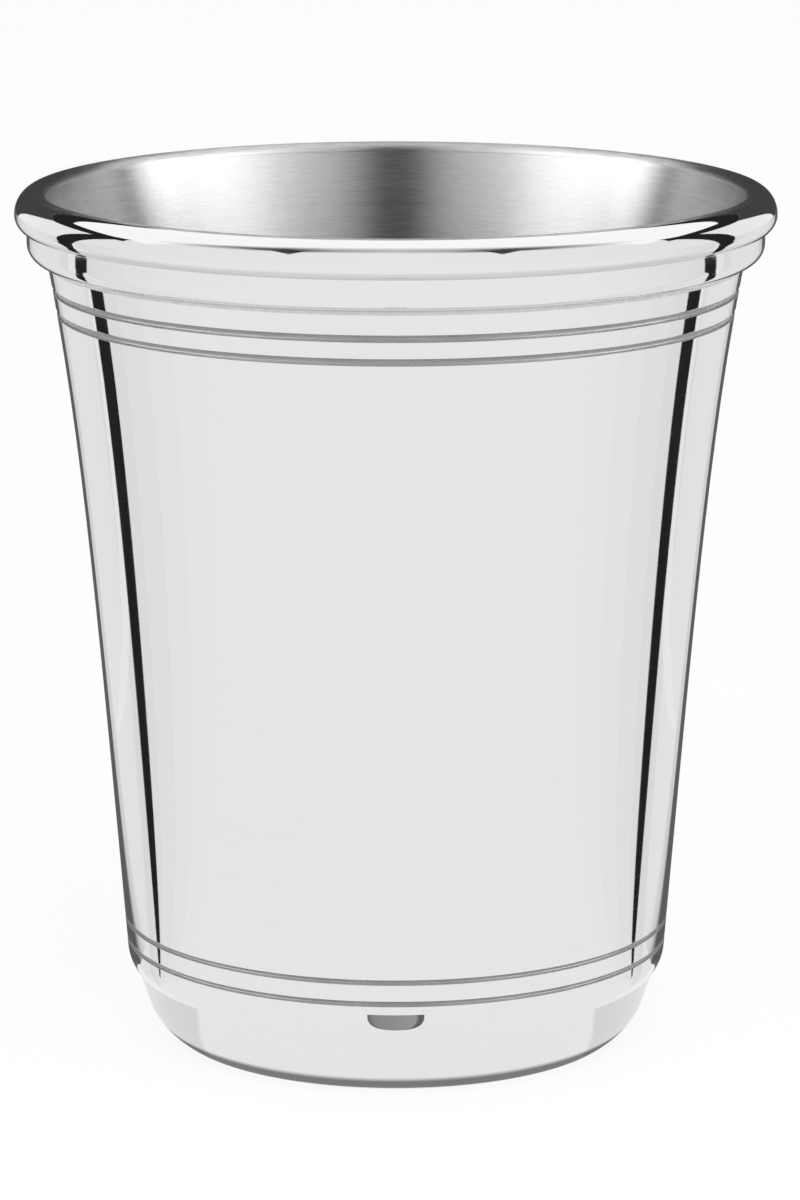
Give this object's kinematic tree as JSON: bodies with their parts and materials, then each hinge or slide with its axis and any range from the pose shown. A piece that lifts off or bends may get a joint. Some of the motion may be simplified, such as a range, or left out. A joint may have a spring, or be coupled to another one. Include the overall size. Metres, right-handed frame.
{
  "type": "julep cup",
  "caption": "Flared metal julep cup with a rounded double rim moulding, turned grooves and a soldered base pan, for a cold mixed drink",
  "frame": {"origin": "centre of the foot, on the surface that the cup stands on", "axes": "+Z is the cup's axis and points up out of the mouth; X and Y are any two directions across it"},
  "size_m": [0.0888, 0.0888, 0.1016],
  "materials": {
    "polished_metal": "mirror polish outside, fine circular brushing inside",
    "solder": "satin"
  },
  "bodies": {
    "root": {"body_shell": "polished_metal", "upper_rim_moulding": "polished_metal", "lower_rim_moulding": "polished_metal", "rim_solder_seam": "solder", "base_pan": "polished_metal", "base_solder_seam": "solder"}
  },
  "joints": []
}
